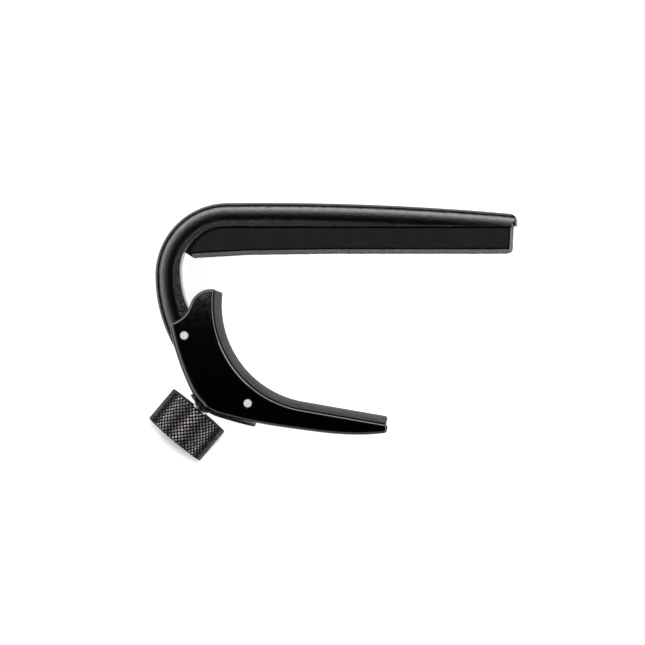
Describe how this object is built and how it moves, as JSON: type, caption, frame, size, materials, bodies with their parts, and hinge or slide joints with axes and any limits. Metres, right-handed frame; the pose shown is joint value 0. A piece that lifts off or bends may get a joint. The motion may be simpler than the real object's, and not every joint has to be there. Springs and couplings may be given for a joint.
{
  "type": "guitar capo",
  "caption": "C-shaped guitar capo lying on its side: rubber-faced arm, pivoted jaw with curved neck pad, knurled knob on a draw screw.",
  "frame": {"origin": "under the middle of the capo's bounding box, on the surface that it lies on", "axes": "+X along the upper arm towards its tip, +Y from the jaw towards the upper arm, +Z across the capo's width, up as it lies on its side"},
  "size_m": [0.0734, 0.0514, 0.0134],
  "materials": {
    "black_casting": "satin",
    "gloss_black": "gloss",
    "fret_rubber": "matte",
    "grey_rubber": "matte",
    "bronze": "satin",
    "nylon": "satin",
    "steel": "polished",
    "spring_steel": "satin",
    "black_spring_steel": "satin",
    "black_brass": "satin"
  },
  "bodies": {
    "frame": {"c_frame": "black_casting", "fret_pad": "fret_rubber", "pivot_bush": "bronze", "pivot_washers": "nylon"},
    "jaw": {"jaw": "gloss_black", "jaw_pad": "grey_rubber", "pivot_pin": "steel", "spring_pin": "steel", "return_spring": "spring_steel"},
    "nut": {"trunnion_nut": "steel"},
    "saddle": {"saddle_strip": "black_spring_steel", "thrust_washer": "black_spring_steel"},
    "knob": {"knob": "black_brass", "knob_cap": "black_brass", "adjusting_screw": "steel", "retaining_clip": "black_spring_steel"}
  },
  "joints": [
    {"name": "knob_spin", "type": "hinge", "parent": "saddle", "child": "knob", "pos_m": [-0.02587, -0.01457, 0.0067], "axis": [0.6428, 0.766, 0], "range_deg": [0, 2700]},
    {"name": "jaw_pivot", "type": "hinge", "parent": "frame", "child": "jaw", "pos_m": [-0.02953, -0.00077, 0.0067], "axis": [0, 0, 1], "range_deg": [0, 16.8], "deforming": ["return_spring"]},
    {"name": "nut_swivel", "type": "hinge", "parent": "frame", "child": "nut", "pos_m": [-0.02189, -0.00982, 0.0067], "axis": [0, 0, 1], "range_deg": [0, 7.33]},
    {"name": "saddle_slide", "type": "slide", "parent": "nut", "child": "saddle", "axis": [0.6428, 0.766, 0], "range_m": [0, 0.00338]}
  ],
  "couplings": [
    {"joint": "jaw_pivot", "follows": "knob_spin", "ratio": 0.0062179},
    {"joint": "nut_swivel", "follows": "knob_spin", "ratio": 0.0027124},
    {"joint": "saddle_slide", "follows": "knob_spin", "m_per_rad": 0.00007162}
  ]
}
